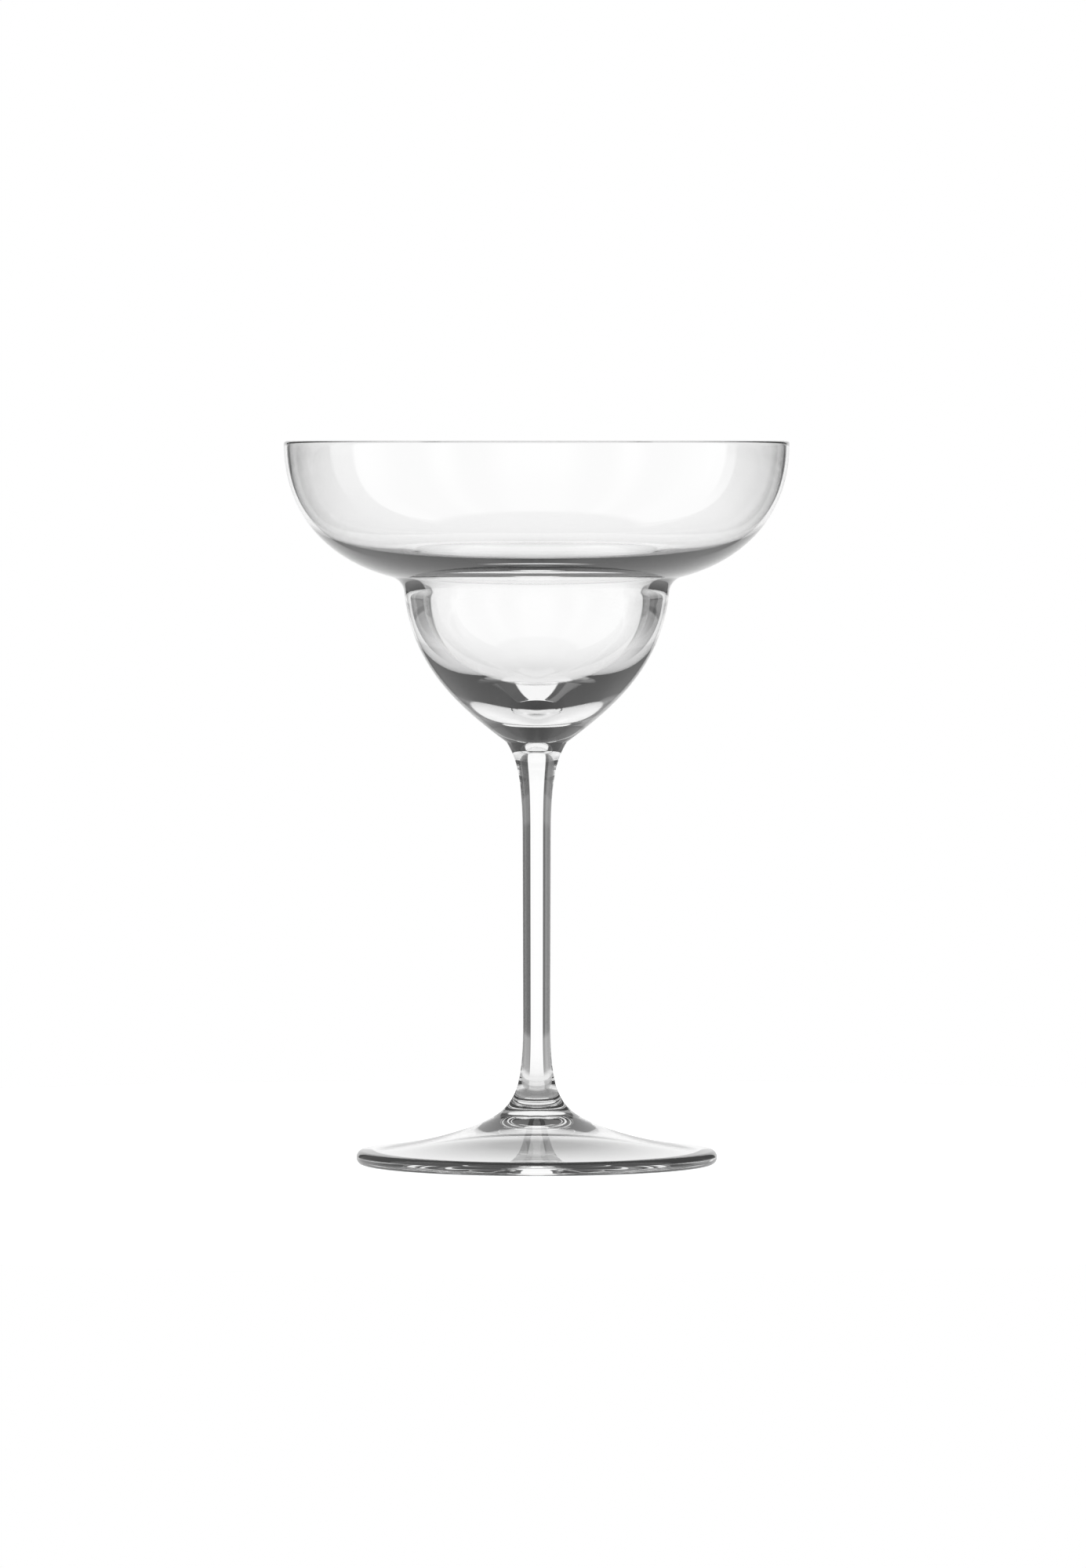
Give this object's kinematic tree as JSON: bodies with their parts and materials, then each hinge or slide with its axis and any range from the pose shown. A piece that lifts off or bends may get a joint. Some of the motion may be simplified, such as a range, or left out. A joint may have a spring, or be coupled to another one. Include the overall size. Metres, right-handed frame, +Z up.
{
  "type": "margarita glass",
  "caption": "Clear crystal margarita glass with a wide coupe over a round well, on a slender drawn stem and a broad foot.",
  "frame": {"origin": "middle of the foot, on the plane that the foot rests on", "axes": "+Z up along the glass's axis, towards the lip; the glass is round, so +X and +Y are alike"},
  "size_m": [0.1152, 0.1152, 0.165],
  "materials": {
    "crystal": "clear, fire-polished"
  },
  "bodies": {
    "root": {"bowl": "crystal", "stem": "crystal", "foot": "crystal"}
  },
  "joints": []
}
